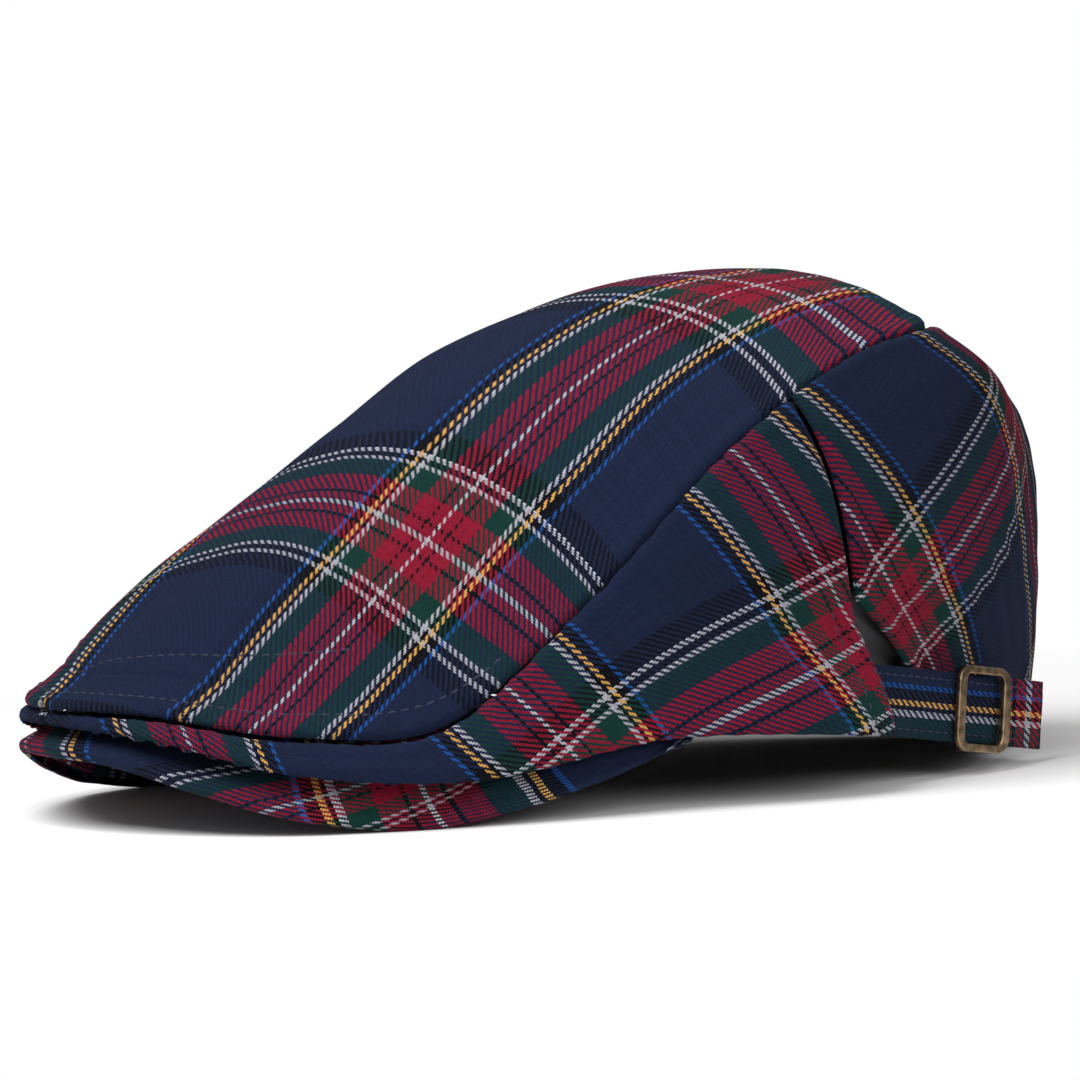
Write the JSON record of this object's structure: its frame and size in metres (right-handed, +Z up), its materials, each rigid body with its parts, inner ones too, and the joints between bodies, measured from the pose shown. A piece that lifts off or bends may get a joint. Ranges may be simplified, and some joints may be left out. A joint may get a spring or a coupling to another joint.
{
  "type": "flat cap",
  "caption": "Tartan flat cap with a stiff curved peak, a leaf-shaped top panel, folded side panels, a lined soft crown, a sweatband, and a buckled strap over a side vent.",
  "frame": {"origin": "on the surface that the cap rests on, under the middle of its outline", "axes": "+Z up through the crown, -Y forwards towards the peak, +X towards the wearer's left, where the strap and buckle are"},
  "size_m": [0.1815, 0.2765, 0.1231],
  "materials": {
    "tartan_twill": "brushed wool twill in a navy and crimson tartan with white, gold, green, blue and black stripes",
    "peak_board": "stiff moulded board",
    "interlining": "fused non-woven interlining",
    "lining_satin": "charcoal satin lining",
    "sweatband_cotton": "black cotton twill",
    "seam_tape": "black woven tape",
    "thread": "navy spun thread",
    "antique_brass": "antique brass, worn bright at the edges",
    "label": "plain woven label, blank"
  },
  "bodies": {
    "cap": {"top_panel": "tartan_twill", "left_front_panel": "tartan_twill", "left_rear_panel": "tartan_twill", "right_front_panel": "tartan_twill", "right_rear_panel": "tartan_twill", "peak_top_cover": "tartan_twill", "peak_board": "peak_board", "peak_under_cover": "tartan_twill", "front_interlining": "interlining", "lining_front": "lining_satin", "lining_left": "lining_satin", "lining_right": "lining_satin", "lining_back": "lining_satin", "sweatband": "sweatband_cotton", "sweatband_binding": "seam_tape", "left_seam_tape": "seam_tape", "right_seam_tape": "seam_tape", "back_seam_tape": "seam_tape", "vent_facing": "lining_satin", "buckle_tab": "tartan_twill", "front_edge_stitching": "thread", "peak_tacking": "thread", "vent_stitching": "thread", "size_label": "label"},
    "strap": {"strap": "tartan_twill", "strap_stitching": "thread"},
    "buckle": {"buckle_frame": "antique_brass", "buckle_bar": "antique_brass"}
  },
  "joints": [
    {"name": "strap_slide", "type": "slide", "parent": "cap", "child": "strap", "axis": [-0.3544, 0.9233, -0.1478], "range_m": [-0.006, 0.006]},
    {"name": "buckle_tilt", "type": "hinge", "parent": "cap", "child": "buckle", "pos_m": [0.06452, 0.07275, 0.015], "axis": [-0.053, 0.138, 0.989], "range_deg": [-5, 5]}
  ]
}
